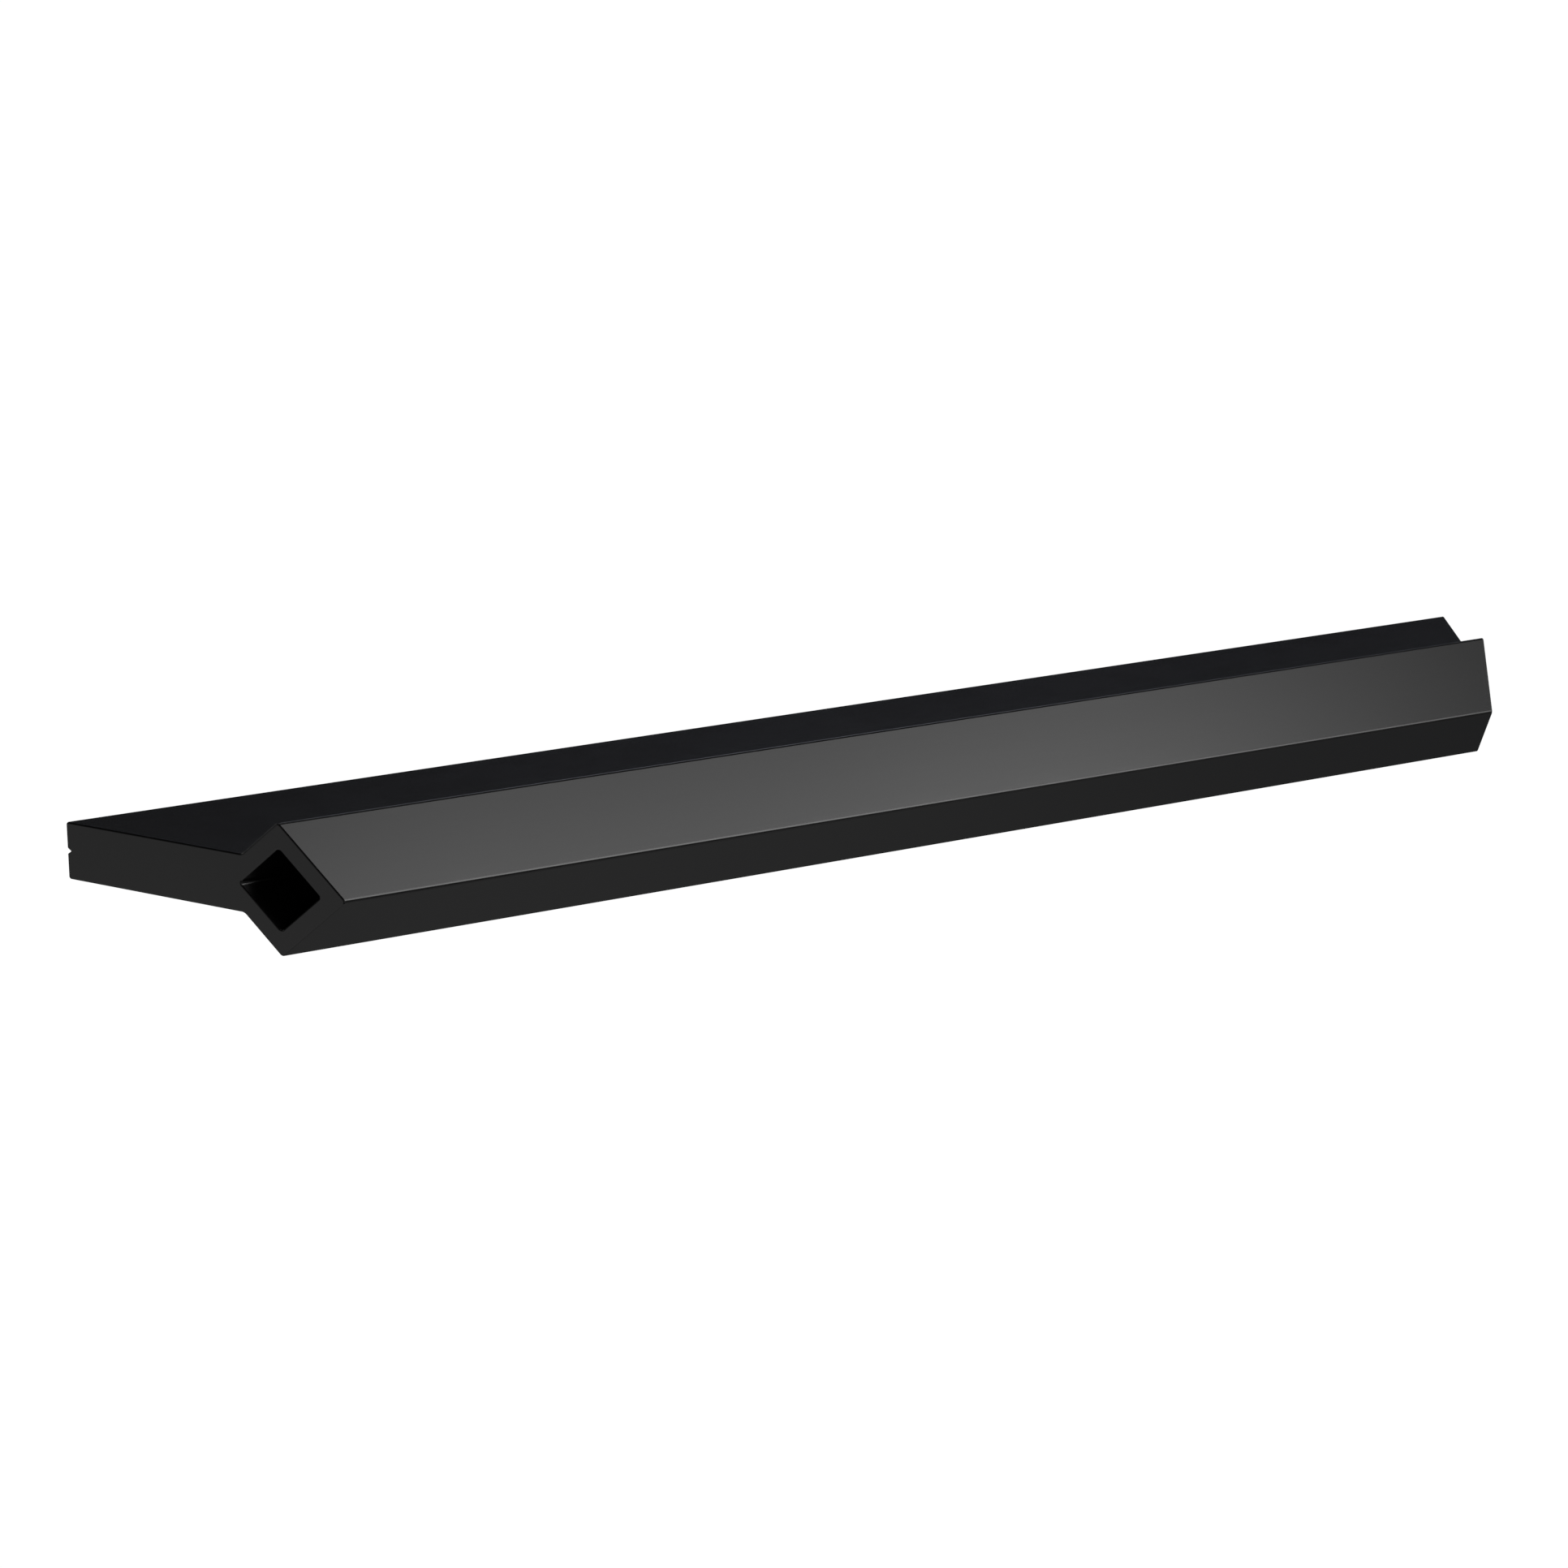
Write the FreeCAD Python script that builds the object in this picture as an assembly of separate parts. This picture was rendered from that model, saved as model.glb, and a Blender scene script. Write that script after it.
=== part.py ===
"""Cabinet drawer pull: a black aluminium extrusion with a hollow diamond nose on a flat web.

Frame, in millimetres: +X runs along the pull, +Y points into the drawer front, +Z is up.
The origin is the middle of the rear face, halfway between the two fixing holes, so the nose
stands out towards -Y. Each end is cut at MITRE_DEG, so the rear edge is longer than the nose.
"""

import FreeCAD, Part

import math
import os

V = FreeCAD.Vector

# ---- driving dimensions --------------------------------------------------------------------
REAR_LENGTH = 200.0      # along the rear face, before the ends' sharp corners are eased
MITRE_DEG = 30.0         # each end's cut, from square
WEB_THICKNESS = 6.8      # the flat web between the rear face and the nose
WEB_REACH = 26.1         # rear face to the centre of the diamond
NOSE_SIDE = 11.1         # across the diamond's flats
NOSE_WALL = 2.2          # wall between the diamond's flats and its square bore

NOSE_CORNER_RADIUS = 0.45
REAR_CORNER_RADIUS = 0.3
ROOT_RADIUS = 0.8        # where the web runs into the nose
BORE_CORNER_RADIUS = 0.4
CUT_EDGE_RADIUS = 0.2    # the sawn ends' eased edges
MARK_DEPTH = 0.65        # the V-shaped centring groove along the rear face
MARK_DEG = 80.0          # between the groove's sides

HOLE_SPACING = 160.0     # fixing holes, centre to centre
INSERT_LENGTH = 8.0      # M4 wire thread inserts, two diameters long
INSERT_OUTER_RADIUS = 2.45
THREAD_RADIUS = 1.65     # the M4 thread's inner radius
THREAD_LEAD_IN = 0.3
HOLE_RUN_ON = 2.5        # drilled depth past the insert
DRILL_POINT_DEG = 118.0

# ---- sizes that follow ---------------------------------------------------------------------
NOSE_HALF = NOSE_SIDE / math.sqrt(2.0)
BORE_HALF = (NOSE_SIDE - 2.0 * NOSE_WALL) / math.sqrt(2.0)
WEB_HALF = WEB_THICKNESS / 2.0
ROOT_Y = -(WEB_REACH - (NOSE_HALF - WEB_HALF))
FRONT_Y = -(WEB_REACH + NOSE_HALF)


def rounded_wire(corners):
    """A closed wire in the YZ plane through corners of (y, z, radius), each rounded by an arc."""
    edges = []
    points = [V(0.0, y, z) for y, z, _ in corners]
    starts = []
    ends = []
    for i, (_, _, radius) in enumerate(corners):
        back = (points[i - 1] - points[i]).normalize()
        ahead = (points[(i + 1) % len(points)] - points[i]).normalize()
        half_angle = back.getAngle(ahead) / 2.0
        setback = radius / math.tan(half_angle)
        middle = (back + ahead).normalize()
        to_arc = radius / math.sin(half_angle) - radius
        starts.append(points[i] + back * setback)
        ends.append(points[i] + ahead * setback)
        edges.append(Part.Arc(starts[i], points[i] + middle * to_arc, ends[i]).toShape())
    for i in range(len(points)):
        edges.append(Part.LineSegment(ends[i], starts[(i + 1) % len(points)]).toShape())
    return Part.Wire(Part.__sortEdges__(edges))


def section():
    """The extrusion's section: web and diamond in one outline, with the square bore left out."""
    outline = rounded_wire([
        (0.0, WEB_HALF, REAR_CORNER_RADIUS),
        (ROOT_Y, WEB_HALF, ROOT_RADIUS),
        (-WEB_REACH, NOSE_HALF, NOSE_CORNER_RADIUS),
        (FRONT_Y, 0.0, NOSE_CORNER_RADIUS),
        (-WEB_REACH, -NOSE_HALF, NOSE_CORNER_RADIUS),
        (ROOT_Y, -WEB_HALF, ROOT_RADIUS),
        (0.0, -WEB_HALF, REAR_CORNER_RADIUS),
    ])
    bore = rounded_wire([
        (-WEB_REACH + BORE_HALF, 0.0, BORE_CORNER_RADIUS),
        (-WEB_REACH, BORE_HALF, BORE_CORNER_RADIUS),
        (-WEB_REACH - BORE_HALF, 0.0, BORE_CORNER_RADIUS),
        (-WEB_REACH, -BORE_HALF, BORE_CORNER_RADIUS),
    ])
    return Part.Face(outline).cut(Part.Face(bore)).Faces[0]


def half_length(y):
    """Half the pull's length at depth y: the mitres shorten it towards the nose."""
    return REAR_LENGTH / 2.0 + y * math.tan(math.radians(MITRE_DEG))


def mitred_length():
    """The section run along X and cut to the trapezoid plan."""
    blank = section().extrude(V(REAR_LENGTH, 0.0, 0.0))
    blank.translate(V(-REAR_LENGTH / 2.0, 0.0, 0.0))
    past = 5.0
    plan = [
        V(-half_length(past), past, -NOSE_SIDE),
        V(half_length(past), past, -NOSE_SIDE),
        V(half_length(FRONT_Y - past), FRONT_Y - past, -NOSE_SIDE),
        V(-half_length(FRONT_Y - past), FRONT_Y - past, -NOSE_SIDE),
    ]
    keep = Part.Face(Part.makePolygon(plan + plan[:1])).extrude(V(0.0, 0.0, 2.0 * NOSE_SIDE))
    return blank.common(keep).Solids[0]


def ease_cut_edges(bar):
    """Rounds every edge of the two sawn ends."""
    cut = math.radians(MITRE_DEG)
    edges = {}
    for face in bar.Faces:
        normal = face.normalAt(0.0, 0.0)
        if abs(abs(normal.x) - math.cos(cut)) < 1e-6 and abs(normal.z) < 1e-6:
            for edge in face.Edges:
                edges[edge.hashCode()] = edge
    return bar.makeFillet(CUT_EDGE_RADIUS, list(edges.values()))


def centring_groove():
    """The V-shaped groove along the middle of the rear face."""
    past = 0.2
    reach = (MARK_DEPTH + past) * math.tan(math.radians(MARK_DEG / 2.0))
    corners = [V(0.0, -MARK_DEPTH, 0.0), V(0.0, past, reach), V(0.0, past, -reach)]
    groove = Part.Face(Part.makePolygon(corners + corners[:1])).extrude(V(REAR_LENGTH, 0.0, 0.0))
    groove.translate(V(-REAR_LENGTH / 2.0, 0.0, 0.0))
    return groove


def fixing_hole(x):
    """The blind hole drilled into the rear face for one thread insert."""
    depth = INSERT_LENGTH + HOLE_RUN_ON
    into_bar = V(0.0, -1.0, 0.0)
    drilled = Part.makeCylinder(INSERT_OUTER_RADIUS, depth, V(x, 0.0, 0.0), into_bar)
    tip = INSERT_OUTER_RADIUS / math.tan(math.radians(DRILL_POINT_DEG / 2.0))
    point = Part.makeCone(INSERT_OUTER_RADIUS, 0.0, tip, V(x, -depth, 0.0), into_bar)
    return drilled.fuse(point).removeSplitter()


def pull_bar():
    """The extrusion: one solid from end to end."""
    bar = ease_cut_edges(mitred_length()).cut(centring_groove())
    for x in (-HOLE_SPACING / 2.0, HOLE_SPACING / 2.0):
        bar = bar.cut(fixing_hole(x))
    return bar


def thread_insert(x):
    """A thread insert, flush with the rear face, its thread drawn as a plain bore with a lead-in."""
    into_bar = V(0.0, -1.0, 0.0)
    body = Part.makeCylinder(INSERT_OUTER_RADIUS, INSERT_LENGTH, V(x, 0.0, 0.0), into_bar)
    bore = Part.makeCylinder(THREAD_RADIUS, INSERT_LENGTH, V(x, 0.0, 0.0), into_bar)
    lead_in = Part.makeCone(THREAD_RADIUS + THREAD_LEAD_IN, THREAD_RADIUS, THREAD_LEAD_IN,
                            V(x, 0.0, 0.0), into_bar)
    return body.cut(bore).cut(lead_in)


def main():
    os.makedirs("parts", exist_ok=True)
    nodes = {
        "pull_bar": pull_bar(),
        "thread_insert_left": thread_insert(-HOLE_SPACING / 2.0),
        "thread_insert_right": thread_insert(HOLE_SPACING / 2.0),
    }
    for name, shape in nodes.items():
        shape.exportStep(f"parts/{name}.step")
        box = shape.BoundBox
        print(f"{name}: {len(shape.Solids)} solid, {len(shape.Faces)} faces, {shape.Volume:.1f} mm3, "
              f"{box.XLength:.2f} x {box.YLength:.2f} x {box.ZLength:.2f} mm, valid {shape.isValid()}")


main()
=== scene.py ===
import math

import bpy
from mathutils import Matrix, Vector


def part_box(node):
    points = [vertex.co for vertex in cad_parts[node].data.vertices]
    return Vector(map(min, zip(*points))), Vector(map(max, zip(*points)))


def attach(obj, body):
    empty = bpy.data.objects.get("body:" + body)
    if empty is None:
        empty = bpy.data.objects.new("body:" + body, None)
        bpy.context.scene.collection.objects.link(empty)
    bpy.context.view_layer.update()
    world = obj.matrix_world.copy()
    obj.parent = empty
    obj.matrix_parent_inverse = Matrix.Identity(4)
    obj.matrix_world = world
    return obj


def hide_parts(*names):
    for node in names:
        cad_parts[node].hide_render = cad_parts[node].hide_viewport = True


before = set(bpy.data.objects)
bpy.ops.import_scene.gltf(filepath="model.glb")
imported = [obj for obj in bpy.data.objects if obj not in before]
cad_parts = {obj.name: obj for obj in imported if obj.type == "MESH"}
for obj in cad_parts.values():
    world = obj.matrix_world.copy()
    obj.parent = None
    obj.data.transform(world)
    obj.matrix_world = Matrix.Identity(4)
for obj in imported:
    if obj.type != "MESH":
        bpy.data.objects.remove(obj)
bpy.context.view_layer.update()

scene = bpy.context.scene

# Everything is in metres and in the CAD's frame. A direction is given in degrees: azimuth, from -Y
# towards +X, and elevation above the XY plane.

# ---- the pull's nose, as in the CAD -----------------------------------------------------------
NOSE_SIDE = 0.0111                               # across the diamond's flats
NOSE_Y = -0.0261                                 # the diamond's centre line
NOSE_REACH = NOSE_SIDE / math.sqrt(2.0)          # its centre to its sharp corners

# ---- camera -----------------------------------------------------------------------------------
CAMERA_AIM = Vector((-0.02068, NOSE_Y, 0.00295))
CAMERA_AZIMUTH = -30.047
CAMERA_ELEVATION = 15.985
CAMERA_DISTANCE = 0.4558
LENS_MM = 88.748
SENSOR_MM = 36.0
CLIP_START = 0.01

# ---- stage ------------------------------------------------------------------------------------
FLOOR_GAP = 0.0002                               # keeps the floor clear of the pull's lowest line
DRUM_RADIUS = 9.0
DRUM_HEIGHT = 9.0
DRUM_SIDES = 48
PAPER_WHITE = 1.02                               # a little over 1, so it's pure white in the picture

# ---- light ------------------------------------------------------------------------------------
NEUTRAL = (1.0, 1.0, 1.0)
COOL = (0.93, 0.97, 1.10)
# Soft boxes so far off that only their direction counts: azimuth, elevation, half width along and
# half width across, in degrees, then radiance and tint.
SOFT_BOXES = {
    # the main bank, high on the right, that the nose's upper face mirrors
    "key": (39, 42, 9, 10, 4.3, NEUTRAL),
    "key_left": (26, 30, 8, 10, 5.4, NEUTRAL),
    "key_right": (59, 51, 4, 4, 5.5, NEUTRAL),
    "key_top": (46, 58, 6, 5, 4.5, NEUTRAL),
    "key_low": (40, 22, 6, 14, 4.2, NEUTRAL),
    # behind, which the web and the thin upper edges mirror
    "right": (114, 7, 13, 25, 0.52, COOL),
    "back_right": (147, 31, 10, 6, 1.9, COOL),
    "back": (180, 2, 14, 9, 0.5, NEUTRAL),
    # low down, for the lower front face and the cut end
    "floor_bounce": (0, -74, 30, 16, 0.57, NEUTRAL),
    "low_right": (120, -64, 20, 15, 0.16, NEUTRAL),
    "front_right_low": (34, -33, 12, 18, 0.45, NEUTRAL),
    "left_low": (-98, -32, 20, 24, 0.66, NEUTRAL),
    # for the back, the sides and the top
    "top": (180, 75, 16, 8, 2.0, NEUTRAL),
    "back_low": (180, -24, 18, 8, 1.6, NEUTRAL),
    "back_left": (-150, 25, 16, 8, 1.2, NEUTRAL),
    "right_high": (90, 33, 13, 7, 4.0, NEUTRAL),
    "right_low": (87, -22, 14, 12, 1.2, NEUTRAL),
    "left": (-75, 16, 25, 6, 0.35, NEUTRAL),
    "front": (-5, 16, 25, 6, 1.3, NEUTRAL),
    "front_low": (-15, -13, 25, 10, 0.7, NEUTRAL),
}

# ---- black anodising --------------------------------------------------------------------------
IOR = 1.5
# noise scales, per metre: the die's lines run along X, so theirs are far finer across it
DIE_FINE_SCALE = (10.0, 3600.0, 3600.0)
DIE_WIDE_SCALE = (3.0, 620.0, 620.0)
GRAIN_SCALE = 15000.0
CLOUD_SCALE = 38.0
WEAR_SCALE = 160.0
SAW_RING_SCALE = 5200.0
SAW_CENTRE = (0.0, 0.02, -0.11)                  # the arcs centre on a line along X through this
CUT_NORMAL = (0.45, 0.75)                        # the normal's X part: side faces below, ends above
RELIEF = 0.00000025                              # the bump's height where its pattern is 1
DIE_FINE_HEIGHT = 0.55
DIE_WIDE_HEIGHT = 1.1
GRAIN_HEIGHT = 0.25
WEAR_STARTS = NOSE_REACH - 0.0016                # from the nose's centre line, along Y or Z
WEAR_FULL = NOSE_REACH - 0.0002
WEAR_PATCHES = (0.42, 0.68)
ANODISED_ROUGHNESS = 0.180
DIE_ROUGHNESS = 0.016
CLOUD_ROUGHNESS = 0.012
CUT_ROUGHNESS = 0.010
WEAR_ROUGHNESS = -0.012
DYE_DEEP = (0.0018, 0.0018, 0.0020, 1.0)
DYE_PALE = (0.0023, 0.0022, 0.0023, 1.0)
DYE_CLOUDS = (0.3, 0.7)
DYE_WORN = (0.0042, 0.0040, 0.0039, 1.0)
DYE_WEAR = 0.5                                   # how far full wear takes the dye to DYE_WORN

# ---- stainless wire ---------------------------------------------------------------------------
DRAWN_SCALE = (900.0, 16000.0, 900.0)
DRAWN_LINES = (0.2, 0.8)
DRAWN_RELIEF = 0.000001
STAIN_SCALE = 900.0
STEEL_DARK = (0.46, 0.45, 0.44, 1.0)
STEEL_LIGHT = (0.60, 0.59, 0.57, 1.0)
STEEL_ROUGHNESS = (0.22, 0.36)

# ---- thread inserts ---------------------------------------------------------------------------
THREAD_PITCH = 0.0007
THREAD_RADIUS = 0.00165                          # the wire's inner edge
WIRE_WIDEST = (0.00203, 0.00207)                 # the radii between which the wire is widest
WIRE_HALF_WIDTH = 0.00032
INNER_HALF_FLAT = 0.00005
OUTER_HALF_FLAT = 0.00004
HOLE_CLEARANCE = 0.00002                         # between the coil and the wall of its hole
COIL_START = 0.00045                             # the first turn's depth under the rear face
COIL_SHORT = 0.00040                             # how far the last turn stops before the CAD's end
STEPS_PER_TURN = 56
SHARP_ANGLE = 35.0


def direction(azimuth, elevation):
    """The unit vector that points to an azimuth and elevation in degrees."""
    az = math.radians(azimuth)
    el = math.radians(elevation)
    return Vector((math.cos(el) * math.sin(az), -math.cos(el) * math.cos(az), math.sin(el)))


def add_object(name, data):
    """Puts a new object in the scene."""
    added = bpy.data.objects.new(name, data)
    scene.collection.objects.link(added)
    return added


class Graph:
    """Makes and joins a node tree's nodes in few words."""

    # a Mix node's colour sockets, which share their names with its number and vector sockets
    COLOUR_A = 6
    COLOUR_B = 7
    COLOUR_RESULT = 2

    def __init__(self, tree):
        self.tree = tree

    def node(self, kind, **settings):
        made = self.tree.nodes.new("ShaderNode" + kind)
        for key, value in settings.items():
            setattr(made, key, value)
        return made

    def feed(self, socket, value):
        """Links a socket to another one, or sets its constant."""
        if isinstance(value, bpy.types.NodeSocket):
            self.tree.links.new(value, socket)
        else:
            socket.default_value = value

    def math(self, operation, *values):
        made = self.node("Math", operation=operation)
        for socket, value in zip(made.inputs, values):
            self.feed(socket, value)
        return made.outputs[0]

    def weighted(self, start, *parts):
        """start, plus each part's value times its weight."""
        total = start
        for value, weight in parts:
            total = self.math("ADD", total, self.math("MULTIPLY", value, weight))
        return total

    def vector_math(self, operation, *values):
        made = self.node("VectorMath", operation=operation)
        for socket, value in zip(made.inputs, values):
            self.feed(socket, value)
        return made

    def dot(self, vector, fixed):
        return self.vector_math("DOT_PRODUCT", vector, fixed).outputs["Value"]

    def scaled(self, vector, by):
        return self.vector_math("MULTIPLY", vector, by).outputs["Vector"]

    def noise(self, vector, scale=1.0, detail=2.0, roughness=0.5):
        made = self.node("TexNoise")
        self.feed(made.inputs["Vector"], vector)
        made.inputs["Scale"].default_value = scale
        made.inputs["Detail"].default_value = detail
        made.inputs["Roughness"].default_value = roughness
        return made.outputs["Fac"]

    def ramp(self, value, start, end, to_start=0.0, to_end=1.0):
        """A smooth step from to_start, where value is start or less, to to_end, at end or more."""
        made = self.node("MapRange", interpolation_type="SMOOTHSTEP")
        self.feed(made.inputs["Value"], value)
        made.inputs["From Min"].default_value = start
        made.inputs["From Max"].default_value = end
        made.inputs["To Min"].default_value = to_start
        made.inputs["To Max"].default_value = to_end
        return made.outputs["Result"]

    def mix(self, factor, a, b):
        made = self.node("Mix", data_type="FLOAT")
        self.feed(made.inputs["Factor"], factor)
        self.feed(made.inputs["A"], a)
        self.feed(made.inputs["B"], b)
        return made.outputs["Result"]

    def mix_colour(self, factor, a, b):
        made = self.node("Mix", data_type="RGBA")
        self.feed(made.inputs["Factor"], factor)
        self.feed(made.inputs[self.COLOUR_A], a)
        self.feed(made.inputs[self.COLOUR_B], b)
        return made.outputs[self.COLOUR_RESULT]

    def bump(self, shader, pattern, height):
        """Gives the shader the pattern's relief, of this height where the pattern is 1."""
        made = self.node("Bump")
        made.inputs["Strength"].default_value = 1.0
        made.inputs["Distance"].default_value = height
        self.feed(made.inputs["Height"], pattern)
        self.feed(shader.inputs["Normal"], made.outputs["Normal"])


# ---- camera -----------------------------------------------------------------------------------
def make_camera():
    """A level camera, in front on the left and a little above, with a long lens."""
    data = bpy.data.cameras.new("camera")
    data.lens = LENS_MM
    data.sensor_width = SENSOR_MM
    data.clip_start = CLIP_START
    camera = add_object("camera", data)
    outward = direction(CAMERA_AZIMUTH, CAMERA_ELEVATION)
    camera.location = CAMERA_AIM + outward * CAMERA_DISTANCE
    camera.rotation_euler = (-outward).to_track_quat("-Z", "Y").to_euler()
    scene.camera = camera


# ---- stage ------------------------------------------------------------------------------------
def stage_piece(name, verts, faces):
    """A plain white surface that only the camera sees, so it neither shades nor tints the pull."""
    mesh = bpy.data.meshes.new(name)
    mesh.from_pydata(verts, [], faces)
    piece = add_object(name, mesh)
    material = bpy.data.materials.new(name)
    material.use_nodes = True
    material.node_tree.nodes.clear()
    g = Graph(material.node_tree)
    glow = g.node("Emission")
    glow.inputs["Strength"].default_value = PAPER_WHITE
    g.feed(g.node("OutputMaterial").inputs["Surface"], glow.outputs[0])
    mesh.materials.append(material)
    piece.visible_glossy = False
    piece.visible_diffuse = False
    piece.visible_transmission = False
    piece.visible_shadow = False


def make_stage():
    """The floor under the pull, and a drum of the same white round and over it."""
    floor_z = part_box("pull_bar")[0].z - FLOOR_GAP
    floor = []
    for i in range(DRUM_SIDES):
        angle = i * math.tau / DRUM_SIDES
        floor.append((DRUM_RADIUS * math.cos(angle), DRUM_RADIUS * math.sin(angle), floor_z))
    top = [(x, y, z + DRUM_HEIGHT) for x, y, z in floor]
    stage_piece("floor", floor, [tuple(range(DRUM_SIDES))])

    drum = []
    for i in range(DRUM_SIDES):
        beside = (i + 1) % DRUM_SIDES
        drum.append((i, beside, DRUM_SIDES + beside, DRUM_SIDES + i))
    drum.append(tuple(range(DRUM_SIDES, 2 * DRUM_SIDES)))
    stage_piece("backdrop", floor + top, drum)


# ---- light ------------------------------------------------------------------------------------
def make_light():
    """A dark studio with soft boxes that fade at their edges."""
    world = bpy.data.worlds.new("studio")
    world.use_nodes = True
    world.node_tree.nodes.clear()
    scene.world = world
    g = Graph(world.node_tree)
    ray = g.node("TexCoord").outputs["Generated"]
    total = (0.0, 0.0, 0.0)
    for name, (azimuth, elevation, along, across, radiance, tint) in SOFT_BOXES.items():
        centre = direction(azimuth, elevation)
        side = direction(azimuth + 90.0, 0.0)
        rise = centre.cross(side)
        u = g.dot(ray, side / math.radians(along))
        v = g.dot(ray, rise / math.radians(across))
        spread = g.math("ADD", g.math("MULTIPLY", u, u), g.math("MULTIPLY", v, v))
        fade = g.math("EXPONENT", g.math("MULTIPLY", spread, -1.0))
        ahead = g.math("GREATER_THAN", g.dot(ray, centre), 0.0)
        box = g.node("VectorMath", operation="SCALE", label=name)
        box.inputs[0].default_value = Vector(tint) * radiance
        g.feed(box.inputs["Scale"], g.math("MULTIPLY", fade, ahead))
        total = g.vector_math("ADD", total, box.outputs["Vector"]).outputs["Vector"]
    background = g.node("Background")
    g.feed(background.inputs["Color"], total)
    g.feed(g.node("OutputWorld").inputs["Surface"], background.outputs[0])


# ---- materials --------------------------------------------------------------------------------
def new_material(name):
    """A fresh material, its node graph and its shader."""
    material = bpy.data.materials.new(name)
    material.use_nodes = True
    return material, Graph(material.node_tree), material.node_tree.nodes["Principled BSDF"]


def saw_arcs(g, place):
    """Arcs for the cut ends: noise that changes only with the distance from SAW_CENTRE's line."""
    distance = g.vector_math("DISTANCE", g.scaled(place, (0.0, 1.0, 1.0)), SAW_CENTRE)
    ring = g.node("CombineXYZ")
    g.feed(ring.inputs["X"], g.math("MULTIPLY", distance.outputs["Value"], SAW_RING_SCALE))
    return g.noise(ring.outputs[0], detail=2.0, roughness=0.7)


def wear(g, place):
    """Patchy wear, from 0 to 1, on the nose's three free corners and the web behind the nose."""
    axes = g.node("SeparateXYZ")
    g.feed(axes.inputs[0], place)
    along_y = g.math("ABSOLUTE", g.math("SUBTRACT", axes.outputs["Y"], NOSE_Y))
    from_centre = g.math("MAXIMUM", along_y, g.math("ABSOLUTE", axes.outputs["Z"]))
    handled = g.ramp(from_centre, WEAR_STARTS, WEAR_FULL)
    patches = g.ramp(g.noise(place, WEAR_SCALE, detail=4.0, roughness=0.65), *WEAR_PATCHES)
    return g.math("MULTIPLY", handled, patches)


def black_anodised():
    """Satin black anodising over an extruded bar: die lines along X, saw arcs on the cut ends."""
    material, g, shader = new_material("black_anodised")
    coords = g.node("TexCoord")
    place = coords.outputs["Object"]
    facing_x = g.math("ABSOLUTE", g.dot(coords.outputs["Normal"], (1.0, 0.0, 0.0)))
    cut_end = g.ramp(facing_x, *CUT_NORMAL)
    die_fine = g.noise(g.scaled(place, DIE_FINE_SCALE), detail=3.0, roughness=0.6)
    die_wide = g.noise(g.scaled(place, DIE_WIDE_SCALE), detail=2.0, roughness=0.5)
    grain = g.noise(place, GRAIN_SCALE, detail=2.0, roughness=0.6)
    cloud = g.noise(place, CLOUD_SCALE, detail=3.0, roughness=0.55)
    worn = wear(g, place)

    die_lines = g.weighted(0.0, (die_fine, DIE_FINE_HEIGHT), (die_wide, DIE_WIDE_HEIGHT))
    pattern = g.weighted(g.mix(cut_end, die_lines, saw_arcs(g, place)), (grain, GRAIN_HEIGHT))
    g.bump(shader, pattern, RELIEF)

    roughness = g.weighted(ANODISED_ROUGHNESS, (die_fine, DIE_ROUGHNESS), (cloud, CLOUD_ROUGHNESS),
                           (cut_end, CUT_ROUGHNESS), (worn, WEAR_ROUGHNESS))
    g.feed(shader.inputs["Roughness"], roughness)

    dye = g.mix_colour(g.ramp(cloud, *DYE_CLOUDS), DYE_DEEP, DYE_PALE)
    dye = g.mix_colour(g.math("MULTIPLY", worn, DYE_WEAR), dye, DYE_WORN)
    g.feed(shader.inputs["Base Color"], dye)
    shader.inputs["IOR"].default_value = IOR
    return material


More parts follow.
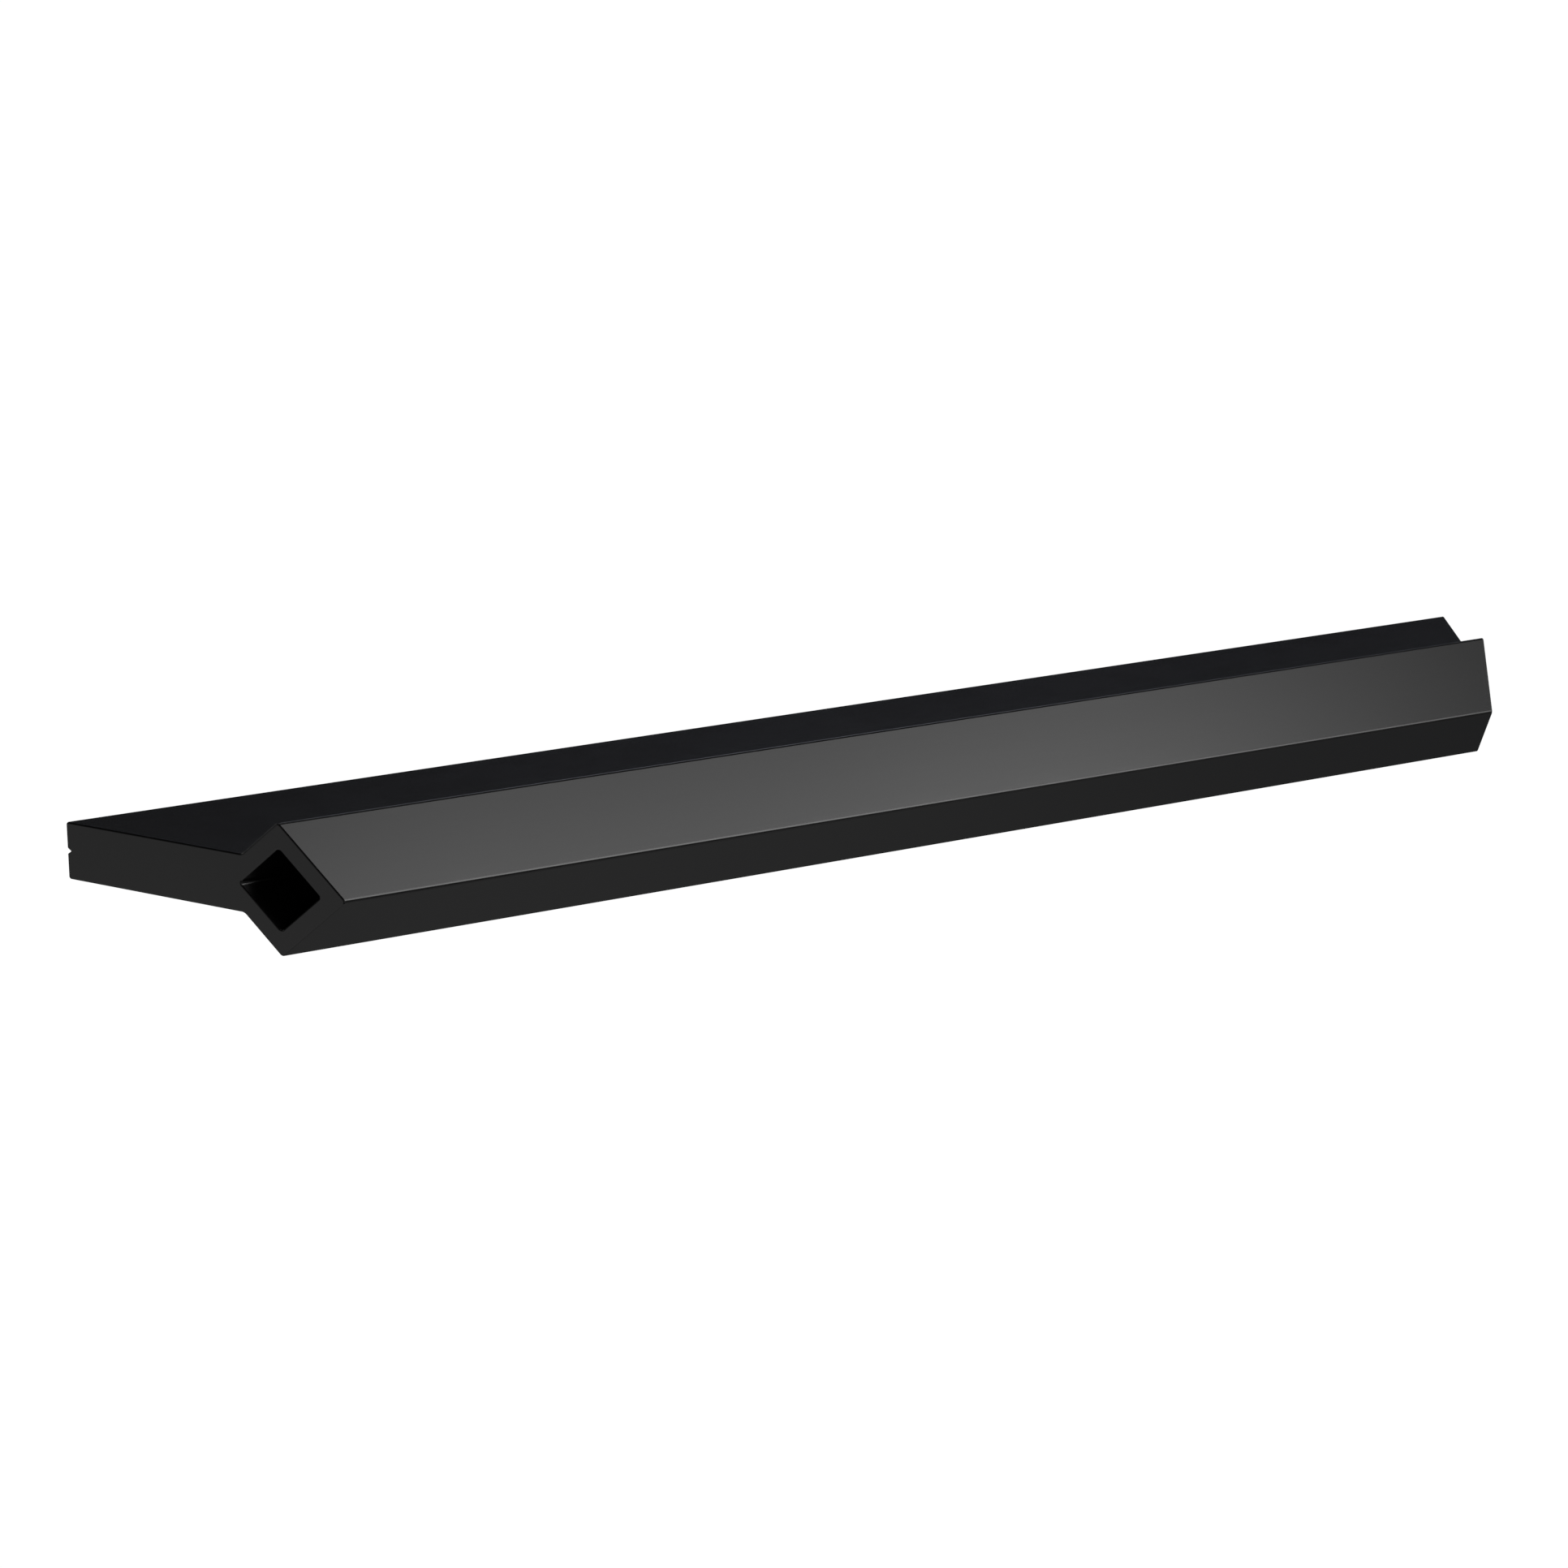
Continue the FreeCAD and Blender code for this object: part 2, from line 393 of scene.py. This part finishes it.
def stainless_wire():
    """Stainless wire, with the fine marks of drawing running round the coil."""
    material, g, shader = new_material("stainless_wire")
    place = g.node("TexCoord").outputs["Object"]
    drawn = g.noise(g.scaled(place, DRAWN_SCALE), detail=3.0, roughness=0.6)
    stain = g.noise(place, STAIN_SCALE, detail=2.0, roughness=0.5)
    g.feed(shader.inputs["Base Color"], g.mix_colour(stain, STEEL_DARK, STEEL_LIGHT))
    g.feed(shader.inputs["Roughness"], g.ramp(drawn, *DRAWN_LINES, *STEEL_ROUGHNESS))
    shader.inputs["Metallic"].default_value = 1.0
    g.bump(shader, drawn, DRAWN_RELIEF)
    return material


# ---- thread inserts ---------------------------------------------------------------------------
def wire_section(outer_radius):
    """The diamond wire's outline, as points of (radius, offset along the hole)."""
    half = [(THREAD_RADIUS, INNER_HALF_FLAT)]
    half += [(radius, WIRE_HALF_WIDTH) for radius in WIRE_WIDEST]
    half.append((outer_radius, OUTER_HALF_FLAT))
    return half + [(radius, -offset) for radius, offset in reversed(half)]


def wire_insert(name, node, material):
    """A wire thread insert: a coil of diamond wire whose inner edge is the M4 thread."""
    low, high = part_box(node)
    centre_x = (low.x + high.x) / 2.0
    section = wire_section((high.x - low.x) / 2.0 - HOLE_CLEARANCE)
    length = -COIL_START - (low.y + COIL_SHORT)
    steps = int(length / THREAD_PITCH * STEPS_PER_TURN)
    verts = []
    for step in range(steps + 1):
        turns = step / STEPS_PER_TURN
        angle = turns * math.tau
        y = -COIL_START - turns * THREAD_PITCH
        for radius, offset in section:
            verts.append((centre_x + radius * math.cos(angle), y + offset, radius * math.sin(angle)))

    sides = len(section)
    faces = []
    for step in range(steps):
        for side in range(sides):
            here = step * sides + side
            beside = step * sides + (side + 1) % sides
            faces.append((here, beside, beside + sides, here + sides))
    faces.append(tuple(range(sides - 1, -1, -1)))
    faces.append(tuple(steps * sides + side for side in range(sides)))

    mesh = bpy.data.meshes.new(name)
    mesh.from_pydata(verts, [], faces)
    mesh.materials.append(material)
    coil = add_object(name, mesh)
    mesh.shade_smooth()
    mesh.set_sharp_from_angle(angle=math.radians(SHARP_ANGLE))
    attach(coil, "root")
    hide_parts(node)


# ---- scene ------------------------------------------------------------------------------------
make_camera()
make_stage()
make_light()
scene.view_settings.view_transform = "Standard"
scene.view_settings.look = "None"

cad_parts["pull_bar"].material_slots[0].material = black_anodised()
steel = stainless_wire()
wire_insert("wire_insert_left", "thread_insert_left", steel)
wire_insert("wire_insert_right", "thread_insert_right", steel)
